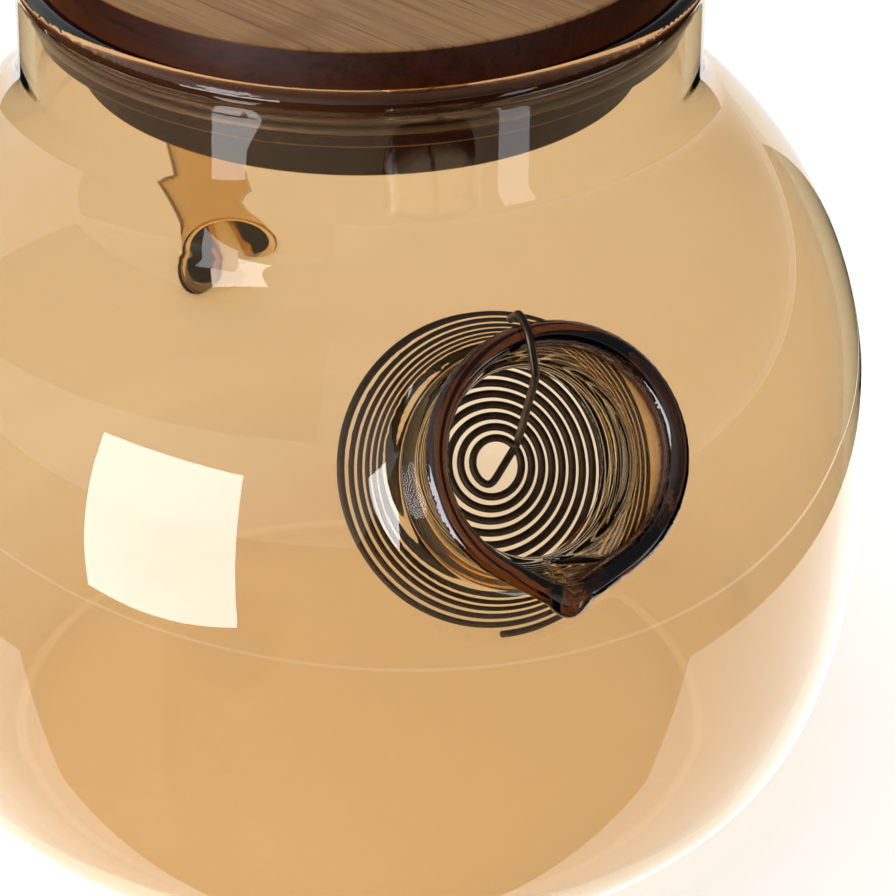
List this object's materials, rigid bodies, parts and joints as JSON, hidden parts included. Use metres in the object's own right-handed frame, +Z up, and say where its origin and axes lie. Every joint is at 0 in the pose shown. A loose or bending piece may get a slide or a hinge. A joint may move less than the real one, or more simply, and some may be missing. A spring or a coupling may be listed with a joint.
{
  "type": "glass teapot",
  "caption": "Round glass teapot with a wide neck, short pouring spout, coiled wire strainer, loop handle and a bamboo plug lid.",
  "frame": {"origin": "centre of the base, on the surface the teapot stands on", "axes": "+Z up along the body's axis, -Y towards the spout, +Y towards the handle"},
  "size_m": [0.1382, 0.2004, 0.1264],
  "materials": {
    "amber_glass": "clear amber, polished",
    "steel_wire": "drawn stainless wire",
    "silicone": "translucent satin",
    "bamboo": "oiled, satin",
    "bamboo_core": "oiled, satin"
  },
  "bodies": {
    "glass": {"glass_base": "amber_glass", "glass_belly": "amber_glass", "glass_shoulder": "amber_glass", "glass_neck": "amber_glass", "spout": "amber_glass", "handle": "amber_glass"},
    "seal": {"seal_ring": "silicone"},
    "lid": {"lid_top_strip_1": "bamboo", "lid_top_strip_2": "bamboo", "lid_top_strip_3": "bamboo", "lid_top_strip_4": "bamboo", "lid_top_strip_5": "bamboo", "lid_core_strip_1": "bamboo_core", "lid_core_strip_2": "bamboo_core", "lid_core_strip_3": "bamboo_core", "lid_core_strip_4": "bamboo_core", "lid_core_strip_5": "bamboo_core", "lid_base_strip_1": "bamboo", "lid_base_strip_2": "bamboo", "lid_base_strip_3": "bamboo", "lid_base_strip_4": "bamboo", "lid_base_strip_5": "bamboo"},
    "strainer": {"strainer_coil": "steel_wire", "strainer_hook": "steel_wire"}
  },
  "joints": [
    {"name": "lid_lift", "type": "slide", "parent": "glass", "child": "seal", "axis": [0, 0, 1], "range_m": [0, 0.04]},
    {"name": "lid_turn", "type": "hinge", "parent": "seal", "child": "lid", "pos_m": [0, 0, 0.11], "axis": [0, 0, 1], "continuous": true},
    {"name": "strainer_turn", "type": "hinge", "parent": "glass", "child": "strainer", "pos_m": [0, -0.08, 0.09], "axis": [0, -0.8387, 0.5446], "range_deg": [-140, 120]}
  ]
}
